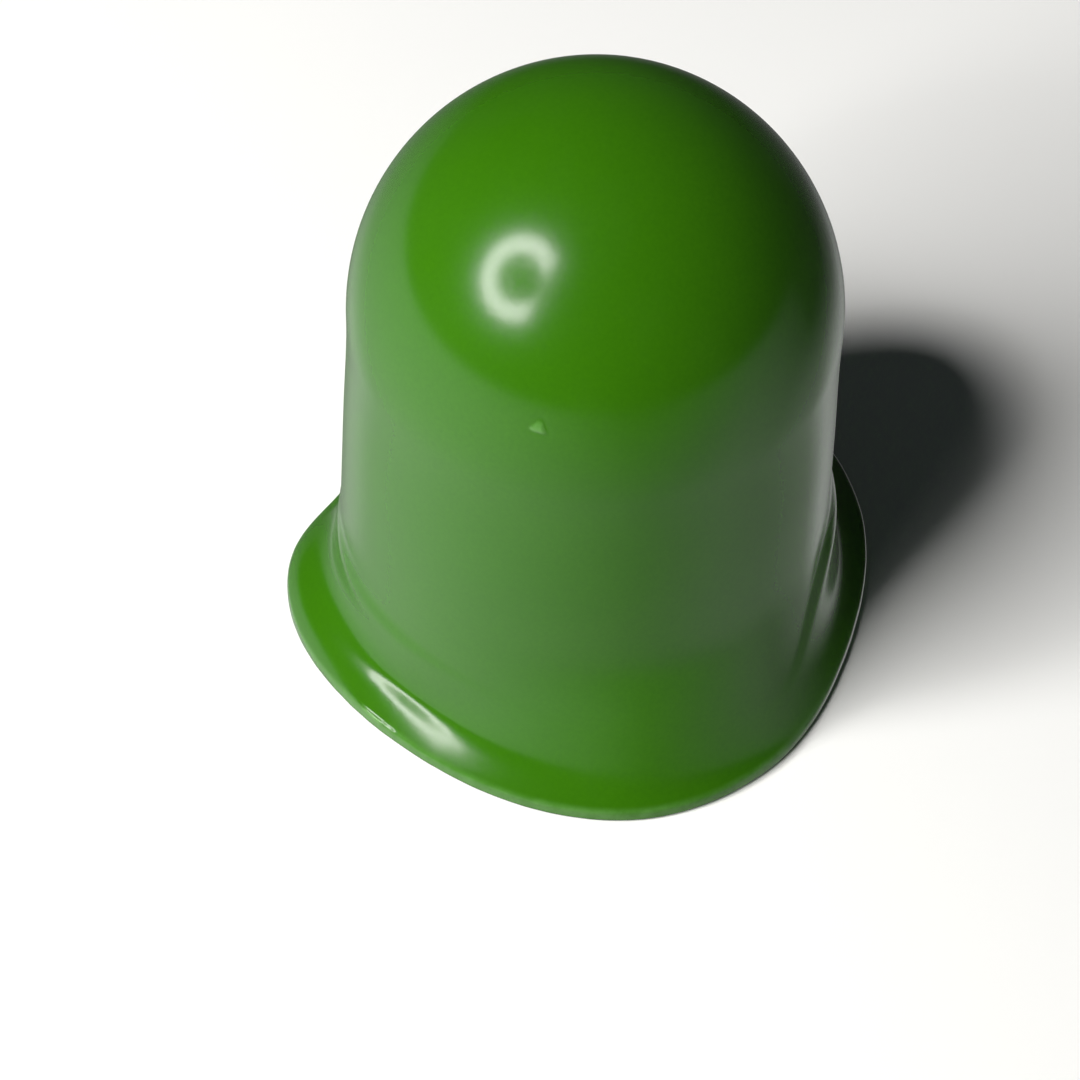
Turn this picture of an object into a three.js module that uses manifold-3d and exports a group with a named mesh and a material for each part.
// Pipette filler bulb: a hollow rubber bulb with a domed crown and a
// bell-mouthed flange, closed at the mouth by a clamped valve block that holds
// a soft conical pipette chuck, a liquid guard ball, a membrane filter and a
// spring-loaded relief valve.
//
// Units are millimetres, +Z is up. The origin is on the axis of the bulb's
// round wall, in the plane that the flange's lip rests on.
//
// In the names, R is a radius from the part's axis, Z0 a bottom and Z1 a top.
// Every profile is a list of [radius, height] pairs.

import * as THREE from 'three';
import { mergeVertices } from 'three/addons/utils/BufferGeometryUtils.js';
import Module from 'manifold-3d';

const { clamp, degToRad, euclideanModulo, mapLinear, radToDeg } = THREE.MathUtils;

const wasm = await Module();
wasm.setup();

// ----------------------------------------------------------------- materials

const FINISH = {
  bulbRubber: { color: 0x3c7a12, roughness: 0.42 },
  chuckRubber: { color: 0xc9cbbf, roughness: 0.55 },
  greenPlastic: { color: 0x2e5d2c, roughness: 0.45 },
  block: { color: 0xd9dcd8, roughness: 0.5 },
  plate: { color: 0xe3e5e1, roughness: 0.5 },
  washer: { color: 0xf0efe9, roughness: 0.35 },
  guardBall: { color: 0xf4f4f0, roughness: 0.3 },
  valveSeat: { color: 0xb9bcb2, roughness: 0.6 },
  grid: { color: 0xe6e7e3, roughness: 0.5 },
  membrane: { color: 0xfafaf7, roughness: 0.85 },
  filterCap: { color: 0xd3d6d0, roughness: 0.5 },
  steel: { color: 0xb9bcbf, roughness: 0.3, metalness: 1 },
};

// ------------------------------------------------------------ geometry tools

const MERGE_DISTANCE = 1e-4;
const OVERSHOOT = 1; // how far a cutter runs past the face it opens

// Position-only geometry with shared vertices, no collapsed faces, faces out.
function closed(geometry) {
  const bare = geometry.clone();
  for (const name of Object.keys(bare.attributes)) {
    if (name !== 'position') bare.deleteAttribute(name);
  }
  const merged = mergeVertices(bare, MERGE_DISTANCE);
  const position = merged.getAttribute('position');
  const point = (index) => new THREE.Vector3().fromBufferAttribute(position, index);
  const corners = merged.index.array;
  const triangles = [];
  let volume = 0; // six times the signed volume
  for (let i = 0; i < corners.length; i += 3) {
    const [first, second, third] = corners.slice(i, i + 3);
    if (first === second || second === third || third === first) continue;
    triangles.push(first, second, third);
    volume += point(first).dot(point(second).cross(point(third)));
  }
  if (volume < 0) {
    for (let i = 0; i < triangles.length; i += 3) {
      [triangles[i + 1], triangles[i + 2]] = [triangles[i + 2], triangles[i + 1]];
    }
  }
  merged.setIndex(triangles);
  return merged;
}

function toSolid(geometry) {
  const source = closed(geometry);
  return new wasm.Manifold(new wasm.Mesh({
    numProp: 3,
    vertProperties: new Float32Array(source.getAttribute('position').array),
    triVerts: new Uint32Array(source.index.array),
  }));
}

function toGeometry(solid) {
  const { vertProperties, triVerts } = solid.getMesh();
  const geometry = new THREE.BufferGeometry();
  geometry.setAttribute('position', new THREE.BufferAttribute(vertProperties, 3));
  geometry.setIndex(Array.from(triVerts));
  return geometry;
}

function cut(base, ...cutters) {
  const subtract = (solid, cutter) => solid.subtract(toSolid(cutter));
  return toGeometry(cutters.reduce(subtract, toSolid(base)));
}

// Solid of revolution. The profile starts and ends on the axis.
function turned(profile, segments) {
  const points = profile.map(([r, z]) => new THREE.Vector2(r, z));
  return new THREE.LatheGeometry(points, segments).rotateX(Math.PI / 2);
}

// Solid of revolution with an open middle. The profile is closed on itself.
const turnedLoop = (profile, segments) => turned([...profile, profile[0]], segments);

const flatRing = (innerR, outerR, z0, z1, segments) => turnedLoop([
  [innerR, z0],
  [outerR, z0],
  [outerR, z1],
  [innerR, z1],
], segments);

function rod(radius, z0, z1, segments, x = 0, y = 0) {
  return new THREE.CylinderGeometry(radius, radius, z1 - z0, segments)
    .rotateX(Math.PI / 2)
    .translate(x, y, (z0 + z1) / 2);
}

const box = (sizeX, sizeY, sizeZ, x, y, z) =>
  new THREE.BoxGeometry(sizeX, sizeY, sizeZ).translate(x, y, z);

const sphere = (radius, around, poleToPole) =>
  new THREE.SphereGeometry(radius, around, poleToPole).rotateX(Math.PI / 2);

const polar = (radius, degrees) => [
  radius * Math.cos(degToRad(degrees)),
  radius * Math.sin(degToRad(degrees)),
];

// Evenly spaced angles in degrees, anticlockwise from +X.
const spacedAngles = (count, start = 0) =>
  Array.from({ length: count }, (_, i) => start + i * 360 / count);

// Rods at the given angles on a circle; rodSize is [radius, z0, z1, segments].
const rodCircle = (circleR, angles, rodSize) =>
  angles.map((angle) => rod(...rodSize, ...polar(circleR, angle)));

const group = new THREE.Group();

function add(name, geometry, finish, parent = group) {
  const material = new THREE.MeshStandardMaterial({ metalness: 0, ...finish });
  const mesh = new THREE.Mesh(closed(geometry), material);
  mesh.geometry.computeVertexNormals();
  mesh.name = name;
  parent.add(mesh);
  return mesh;
}

// ---------------------------------------------------------------------- bulb

const BODY_R = 19.0;            // wall radius where the dome starts
const DOME_BASE_Z = 32.6;       // height of the dome's widest section
const DOME_RISE = 19.6;         // dome height above its widest section
const DOME_STEPS = 7;
const CREASE_R = 20.0;          // wall radius at the crease above the flange
const CREASE_Z = 8.9;
const FLARE_STEPS = 6;
const LIP_T = 0.9;              // thickness of the flange's lip
const LIP_FLAT_W = 1.3;         // from the lip's edge to the inside of its flat
const WALL_T = 1.9;             // rubber thickness of wall and dome
const MOUTH_R = 17.5;           // bore of the mouth around the valve block
const MOUTH_TOP_Z = 14.4;       // top of the stiff mouth section
const BEAD_R = 16.4;            // inner radius of the clamped bead
const BEAD_Z0 = 8.6;
const BEAD_Z1 = 10.4;
const ZONE_GAP = 0.1;           // parting between the three zones of the rubber

// Edge radius of the soft flange, which is not a true circle: evenly spaced
// directions, anticlockwise from -X.
const FLANGE_EDGE = [
  24.0, 24.4, 23.4, 23.5, 24.6, 25.3, 24.7, 23.7,
  24.0, 24.8, 24.6, 24.6, 24.7, 24.1, 23.0, 22.6,
];
const NOMINAL_EDGE = 24.1;      // edge radius before the lip is drawn to outline
const LIP_FLAT_R = NOMINAL_EDGE - LIP_FLAT_W;

// Underside of the flange, from the lip's flat in to the mouth.
const BELL_MOUTH = [[20.6, 0.75], [19.2, 2.0], [18.2, 3.6], [MOUTH_R, 5.6]];

const wallRadius = (z) => mapLinear(z, CREASE_Z, DOME_BASE_Z, CREASE_R, BODY_R);

// Catmull-Rom interpolation of the flange's edge radius around the circle.
function flangeEdge(degrees) {
  const count = FLANGE_EDGE.length;
  const along = euclideanModulo(degrees + 180, 360) * count / 360;
  const start = Math.floor(along);
  const t = along - start;
  const [before, from, to, after] = [-1, 0, 1, 2].map(
    (offset) => FLANGE_EDGE[(start + offset + count) % count]);
  return 0.5 * (2 * from + (to - before) * t
    + (2 * before - 5 * from + 4 * to - after) * t * t
    + (3 * from - 3 * to + after - before) * t * t * t);
}

// Flange zone, turned for the nominal edge. Each point beyond the crease radius
// is then drawn in or out in proportion, so that the bore stays round.
function bulbFlange() {
  const flare = new THREE.QuadraticBezierCurve(
    new THREE.Vector2(CREASE_R, CREASE_Z),
    new THREE.Vector2(CREASE_R + 0.4, LIP_T + 1.6),
    new THREE.Vector2(NOMINAL_EDGE, LIP_T),
  );
  const geometry = turnedLoop([
    [MOUTH_R, MOUTH_TOP_Z],
    [wallRadius(MOUTH_TOP_Z), MOUTH_TOP_Z],
    ...flare.getPoints(FLARE_STEPS).map((point) => point.toArray()),
    [NOMINAL_EDGE - 0.1, 0],
    [LIP_FLAT_R, 0],
    ...BELL_MOUTH,
    [MOUTH_R, BEAD_Z0],
    [BEAD_R, BEAD_Z0],
    [BEAD_R, BEAD_Z1],
    [MOUTH_R, BEAD_Z1],
  ], 64);
  const position = geometry.getAttribute('position');
  for (let i = 0; i < position.count; i++) {
    const x = position.getX(i);
    const y = position.getY(i);
    const radius = Math.hypot(x, y);
    const share = clamp((radius - CREASE_R) / (LIP_FLAT_R - CREASE_R), 0, 1);
    const shift = (flangeEdge(radToDeg(Math.atan2(y, x))) - NOMINAL_EDGE) * share;
    const scale = 1 + shift / radius;
    position.setXY(i, x * scale, y * scale);
  }
  return geometry;
}

// Wall zone: the part of the rubber that folds when the crown is pressed.
function bulbWall() {
  const baseR = wallRadius(MOUTH_TOP_Z);
  return turnedLoop([
    [baseR - WALL_T, MOUTH_TOP_Z + ZONE_GAP],
    [baseR, MOUTH_TOP_Z + ZONE_GAP],
    [BODY_R, DOME_BASE_Z - ZONE_GAP],
    [BODY_R - WALL_T, DOME_BASE_Z - ZONE_GAP],
  ], 48);
}

// Crown zone: half an ellipsoid, hollow and open below.
function bulbDome() {
  const outer = [];
  const inner = [];
  for (let i = 0; i <= DOME_STEPS; i++) {
    const angle = (i / DOME_STEPS) * Math.PI / 2;
    const cos = i === DOME_STEPS ? 0 : Math.cos(angle); // the pole is exactly on the axis
    const sin = Math.sin(angle);
    outer.push([BODY_R * cos, DOME_BASE_Z + DOME_RISE * sin]);
    inner.push([(BODY_R - WALL_T) * cos, DOME_BASE_Z + (DOME_RISE - WALL_T) * sin]);
  }
  return turned([...outer.reverse(), ...inner], 48);
}

add('bulb_flange', bulbFlange(), FINISH.bulbRubber);
add('bulb_wall', bulbWall(), FINISH.bulbRubber);
add('bulb_dome', bulbDome(), FINISH.bulbRubber);

// --------------------------------------------------- valve block and its clamp

const BLOCK_R = 17.35;
const BLOCK_CORE_R = 16.2;
const BLOCK_Z0 = 8.4;
const BLOCK_LIP_Z = 10.6;
const BLOCK_Z1 = 14.0;
const BLOCK_CHAMFER = 0.5;
const BOSS_R = 7.7;
const BOSS_Z0 = 3.9;
const CHUCK_BORE_R = 6.15;
const CHUCK_BORE_Z1 = 12.2;
const PARTITION_T = 1.0;        // between the chuck bore and the guard chamber
const PARTITION_Z1 = CHUCK_BORE_Z1 + PARTITION_T;
const PARTITION_HOLE_R = 1.6;
const CHAMBER_R = 2.9;
const CHAMBER_Z1 = 17.6;
const SEAT_BORE_R = 4.5;
const TOWER_R = 7.4;
const TOWER_Z1 = 20.7;
const RECESS_R = 6.5;           // filter recess in the top of the tower
const RECESS_Z0 = 19.5;

const RELIEF_Y = 12.7;          // relief valve's axis, towards +Y
const RELIEF_BORE_R = 2.5;
const RELIEF_BORE_Z1 = 12.5;
const RELIEF_OUTLET_R = 1.0;

const PLATE_Z0 = 4.6;
const PLATE_Z1 = 8.3;
const PLATE_BORE_R = BOSS_R + 0.25;
const PLATE_FACE_Z = PLATE_Z0 + 0.35; // sunk underside within the rim
const PLATE_CHAMFER = 0.4;

const SCREW_CIRCLE_R = 13.2;
const SCREW_ANGLES = spacedAngles(3, 30);
const SCREW_HEAD_R = 1.9;
const SCREW_SHANK_R = 1.0;
const SCREW_HEAD_Z0 = 3.35;
const SCREW_HEAD_Z1 = 4.9;
const SCREW_TIP_Z = 12.4;
const CROSS_L = 1.9;            // cross recess: arm length, width and cutter height
const CROSS_W = 0.42;
const CROSS_H = 1.2;

const screwHoles = (clearance, z0, z1) =>
  rodCircle(SCREW_CIRCLE_R, SCREW_ANGLES, [SCREW_SHANK_R + clearance, z0, z1, 10]);

function valveBlock() {
  const body = turnedLoop([
    [CHUCK_BORE_R, BOSS_Z0],
    [BOSS_R, BOSS_Z0],
    [BOSS_R, BLOCK_Z0],
    [BLOCK_CORE_R, BLOCK_Z0],
    [BLOCK_CORE_R, BLOCK_LIP_Z],
    [BLOCK_R, BLOCK_LIP_Z],
    [BLOCK_R, BLOCK_Z1 - BLOCK_CHAMFER],
    [BLOCK_R - BLOCK_CHAMFER, BLOCK_Z1],
    [TOWER_R, BLOCK_Z1],
    [TOWER_R, TOWER_Z1],
    [RECESS_R, TOWER_Z1],
    [RECESS_R, RECESS_Z0],
    [SEAT_BORE_R, RECESS_Z0],
    [SEAT_BORE_R, CHAMBER_Z1],
    [CHAMBER_R, CHAMBER_Z1],
    [CHAMBER_R, PARTITION_Z1],
    [PARTITION_HOLE_R, PARTITION_Z1],
    [PARTITION_HOLE_R, CHUCK_BORE_Z1],
    [CHUCK_BORE_R, CHUCK_BORE_Z1],
  ], 40);
  // Air slots in the partition, so that the resting ball cannot close it.
  const airSlots = spacedAngles(3, 90).map((angle) =>
    box(1.6, 0.8, PARTITION_T + 1, 1.8, 0, CHUCK_BORE_Z1 + PARTITION_T / 2)
      .rotateZ(degToRad(angle)));
  return cut(
    body,
    rod(RELIEF_BORE_R, BLOCK_Z0 - OVERSHOOT, RELIEF_BORE_Z1, 16, 0, RELIEF_Y),
    rod(RELIEF_OUTLET_R, RELIEF_BORE_Z1 - 0.5, BLOCK_Z1 + OVERSHOOT, 12, 0, RELIEF_Y),
    ...airSlots,
    ...screwHoles(0.08, BLOCK_Z0 - OVERSHOOT, SCREW_TIP_Z + 0.4),
  );
}

// Squeezes the rubber bead against the valve block's rim.
function clampPlate() {
  const plate = turnedLoop([
    [PLATE_BORE_R, PLATE_FACE_Z],
    [PLATE_BORE_R + 3.0, PLATE_FACE_Z],
    [15.9, PLATE_FACE_Z],
    [16.2, PLATE_Z0],
    [BLOCK_R - PLATE_CHAMFER, PLATE_Z0],
    [BLOCK_R, PLATE_Z0 + PLATE_CHAMFER],
    [BLOCK_R, PLATE_Z1],
    [PLATE_BORE_R, PLATE_Z1],
  ], 40);
  const z0 = PLATE_Z0 - OVERSHOOT;
  const z1 = PLATE_Z1 + OVERSHOOT;
  return cut(
    plate,
    rod(RELIEF_BORE_R, z0, z1, 16, 0, RELIEF_Y),
    ...screwHoles(0.2, z0, z1),
  );
}

// Pan-head screw, head down, with a cross recess.
function clampScrew(angle) {
  const screw = turned([
    [0, SCREW_HEAD_Z0],
    [SCREW_HEAD_R * 0.62, SCREW_HEAD_Z0 + 0.1],
    [SCREW_HEAD_R * 0.92, SCREW_HEAD_Z0 + 0.42],
    [SCREW_HEAD_R, SCREW_HEAD_Z0 + 0.8],
    [SCREW_HEAD_R, SCREW_HEAD_Z1],
    [SCREW_SHANK_R, SCREW_HEAD_Z1],
    [SCREW_SHANK_R, SCREW_TIP_Z - 0.8],
    [0, SCREW_TIP_Z],
  ], 12);
  const crossZ = SCREW_HEAD_Z0 + 0.1;
  return cut(
    screw,
    box(CROSS_L, CROSS_W, CROSS_H, 0, 0, crossZ),
    box(CROSS_W, CROSS_L, CROSS_H, 0, 0, crossZ),
  ).translate(...polar(SCREW_CIRCLE_R, angle), 0);
}

add('valve_block', valveBlock(), FINISH.block);
add('clamp_plate', clampPlate(), FINISH.plate);
SCREW_ANGLES.forEach((angle, i) => {
  add(`clamp_screw_${i + 1}`, clampScrew(angle), FINISH.steel);
});

// ------------------------------------------------------------- pipette chuck

const CHUCK_R = 6.0;
const CHUCK_FLANGE_R = 7.5;
const CHUCK_Z0 = 2.55;
const CHUCK_FLANGE_Z1 = 3.75;
const CHUCK_Z1 = 12.05;
const CHUCK_MOUTH_R = 4.5;
const CHUCK_THROAT_R = 2.4;

// Tapered bore with two sealing ribs, from the throat down to the mouth.
const CHUCK_BORE = [
  [CHUCK_THROAT_R, CHUCK_Z1], [CHUCK_THROAT_R, 10.4], [3.2, 9.4], [3.05, 8.9],
  [3.7, 7.6], [3.7, 6.0], [3.4, 5.5], [4.0, 4.4], [CHUCK_MOUTH_R, CHUCK_Z0],
];

const NUT_R = 9.6;
const NUT_BORE_R = 7.85;
const NUT_MOUTH_R = 5.0;
const NUT_Z0 = 0.9;
const NUT_FLOOR_Z1 = 1.95;
const NUT_Z1 = 4.3;
const NUT_FLUTES = 20;
const FLUTE_DEPTH = 0.42;

const WASHER_Z0 = NUT_FLOOR_Z1 + 0.05;
const WASHER_T = 0.45;

// Fluted nut: an open cup that holds the chuck's flange up against the boss.
function chuckNut() {
  const corners = spacedAngles(NUT_FLUTES * 2).map((angle, i) =>
    new THREE.Vector2(...polar(i % 2 === 0 ? NUT_R - FLUTE_DEPTH : NUT_R, angle)));
  const outline = new THREE.Shape(corners);
  outline.closePath();
  const blank = new THREE.ExtrudeGeometry(outline, {
    depth: NUT_Z1 - NUT_Z0,
    bevelEnabled: false,
  }).translate(0, 0, NUT_Z0);
  const edgeBevel = turnedLoop([
    [NUT_R - 0.75, NUT_Z0 - 0.2],
    [NUT_R + 1.0, NUT_Z0 - 0.2],
    [NUT_R + 1.0, NUT_Z0 + 0.95],
  ], 32);
  const cavity = turned([
    [0, NUT_Z0 - 0.5],
    [NUT_MOUTH_R + 1.3, NUT_Z0 - 0.5],
    [NUT_MOUTH_R + 0.8, NUT_Z0],
    [NUT_MOUTH_R, NUT_Z0 + 0.75],
    [NUT_MOUTH_R, NUT_FLOOR_Z1],
    [NUT_BORE_R, NUT_FLOOR_Z1],
    [NUT_BORE_R, NUT_Z1 + 0.5],
    [0, NUT_Z1 + 0.5],
  ], 32);
  return cut(blank, edgeBevel, cavity);
}

// Slip washer between nut and chuck, so that tightening does not twist it.
const chuckWasher = () =>
  flatRing(NUT_MOUTH_R + 0.15, CHUCK_FLANGE_R, WASHER_Z0, WASHER_Z0 + WASHER_T, 32);

function pipetteChuck() {
  const bore = CHUCK_BORE.slice(0, -1);
  const mouth = CHUCK_BORE.at(-1);
  return turnedLoop([
    mouth,
    [CHUCK_FLANGE_R, CHUCK_Z0],
    [CHUCK_FLANGE_R, CHUCK_FLANGE_Z1],
    [CHUCK_R, CHUCK_FLANGE_Z1],
    [CHUCK_R, CHUCK_Z1],
    ...bore,
  ], 28);
}

add('chuck_nut', chuckNut(), FINISH.greenPlastic);
add('chuck_washer', chuckWasher(), FINISH.washer);
add('pipette_chuck', pipetteChuck(), FINISH.chuckRubber);

// -------------------------------------------------------------- liquid guard

const GUARD_BALL_R = 2.25;
const GUARD_BALL_Z = 14.83;
const GUARD_SEAT_R = 4.4;
const GUARD_SEAT_MOUTH_R = 2.2;
const GUARD_SEAT_HOLE_R = 1.4;
const GUARD_SEAT_Z0 = CHAMBER_Z1 + 0.1;
const GUARD_SEAT_Z1 = RECESS_Z0 - 0.15;

const guardSeat = () => turnedLoop([
  [GUARD_SEAT_MOUTH_R, GUARD_SEAT_Z0],
  [GUARD_SEAT_R, GUARD_SEAT_Z0],
  [GUARD_SEAT_R, GUARD_SEAT_Z1],
  [GUARD_SEAT_HOLE_R, GUARD_SEAT_Z1],
  [GUARD_SEAT_HOLE_R, GUARD_SEAT_Z0 + 1],
], 24);

add('guard_ball', sphere(GUARD_BALL_R, 16, 10), FINISH.guardBall).position.z = GUARD_BALL_Z;
add('guard_seat', guardSeat(), FINISH.valveSeat);

// ---------------------------------------------------------------- air filter

const GRID_R = 6.3;
const GRID_HOLE_R = 0.7;
const MEMBRANE_R = 6.25;
const CAP_R = 9.0;
const CAP_BORE_R = TOWER_R + 0.15;
const CAP_Z0 = 15.8;
const CAP_CEILING_Z = TOWER_Z1 + 0.25;
const CAP_Z1 = 22.3;
const CAP_CHAMFER = 0.5;
const CAP_HOLE_R = 0.85;

function filterGrid() {
  const hole = [GRID_HOLE_R, 19, 21, 8];
  return cut(
    rod(GRID_R, RECESS_Z0 + 0.05, RECESS_Z0 + 0.55, 28),
    rod(...hole),
    ...rodCircle(2.3, spacedAngles(6), hole),
    ...rodCircle(4.5, spacedAngles(10, 15), hole),
  );
}

const filterMembrane = () => rod(MEMBRANE_R, RECESS_Z0 + 0.62, RECESS_Z0 + 1.0, 28);

function filterCap() {
  const cap = turned([
    [0, CAP_CEILING_Z],
    [CAP_BORE_R, CAP_CEILING_Z],
    [CAP_BORE_R, CAP_Z0],
    [CAP_R, CAP_Z0],
    [CAP_R, CAP_Z1 - CAP_CHAMFER],
    [CAP_R - CAP_CHAMFER, CAP_Z1],
    [0, CAP_Z1],
  ], 32);
  const hole = [CAP_HOLE_R, 20, 23, 8];
  return cut(cap, rod(...hole), ...rodCircle(3.4, spacedAngles(6), hole));
}

add('filter_grid', filterGrid(), FINISH.grid);
add('filter_membrane', filterMembrane(), FINISH.membrane);
add('filter_cap', filterCap(), FINISH.filterCap);

// -------------------------------------------------------------- relief valve

const RELIEF_BALL_R = 1.75;
const RELIEF_BALL_Z = 10.05;
const SPRING = { radius: 1.3, z0: 5.35, z1: 8.5, turns: 4.5 };
const SPRING_WIRE_R = 0.2;
const PLUG_R = 3.2;             // head of the screw-in cap
const PLUG_CHAMFER = 0.3;
const PLUG_Z0 = 3.55;
const PLUG_HEAD_Z1 = 4.85;
const PLUG_VENT_R = 0.8;
const PLUG_SKIRT_R = 2.4;
const PLUG_SKIRT_BORE_R = 1.8;
const PLUG_FLOOR_Z = 5.1;
const PLUG_Z1 = 7.0;

class Coil extends THREE.Curve {
  constructor(size) {
    super();
    Object.assign(this, size);
  }

  getPoint(t, target = new THREE.Vector3()) {
    const angle = t * this.turns * Math.PI * 2;
    return target.set(
      this.radius * Math.cos(angle),
      this.radius * Math.sin(angle),
      this.z0 + (this.z1 - this.z0) * t,
    );
  }
}

function reliefSpring() {
  const wire = new THREE.Shape();
  wire.absarc(0, 0, SPRING_WIRE_R, 0, Math.PI * 2, false);
  return new THREE.ExtrudeGeometry(wire, {
    steps: 48,
    curveSegments: 3,
    bevelEnabled: false,
    extrudePath: new Coil(SPRING),
  });
}

// Screw-in cap with a vent hole and a screwdriver slot.
function reliefCap() {
  const cap = turnedLoop([
    [PLUG_VENT_R, PLUG_Z0],
    [PLUG_R - PLUG_CHAMFER, PLUG_Z0],
    [PLUG_R, PLUG_Z0 + PLUG_CHAMFER],
    [PLUG_R, PLUG_HEAD_Z1],
    [PLUG_SKIRT_R, PLUG_HEAD_Z1],
    [PLUG_SKIRT_R, PLUG_Z1],
    [PLUG_SKIRT_BORE_R, PLUG_Z1],
    [PLUG_SKIRT_BORE_R, PLUG_FLOOR_Z],
    [PLUG_VENT_R, PLUG_FLOOR_Z],
  ], 20);
  return cut(cap, box(7, 0.7, 0.9, 0, 0, PLUG_Z0 + 0.05));
}

const relief = new THREE.Group();
relief.position.y = RELIEF_Y;
group.add(relief);

add('relief_seat', flatRing(1.2, 2.4, 11.4, 12.4, 16), FINISH.valveSeat, relief);
const reliefBall = add('relief_ball', sphere(RELIEF_BALL_R, 14, 8), FINISH.steel, relief);
reliefBall.position.z = RELIEF_BALL_Z;
add('relief_spring', reliefSpring(), FINISH.steel, relief);
add('relief_cap', reliefCap(), FINISH.greenPlastic, relief);

export default group;
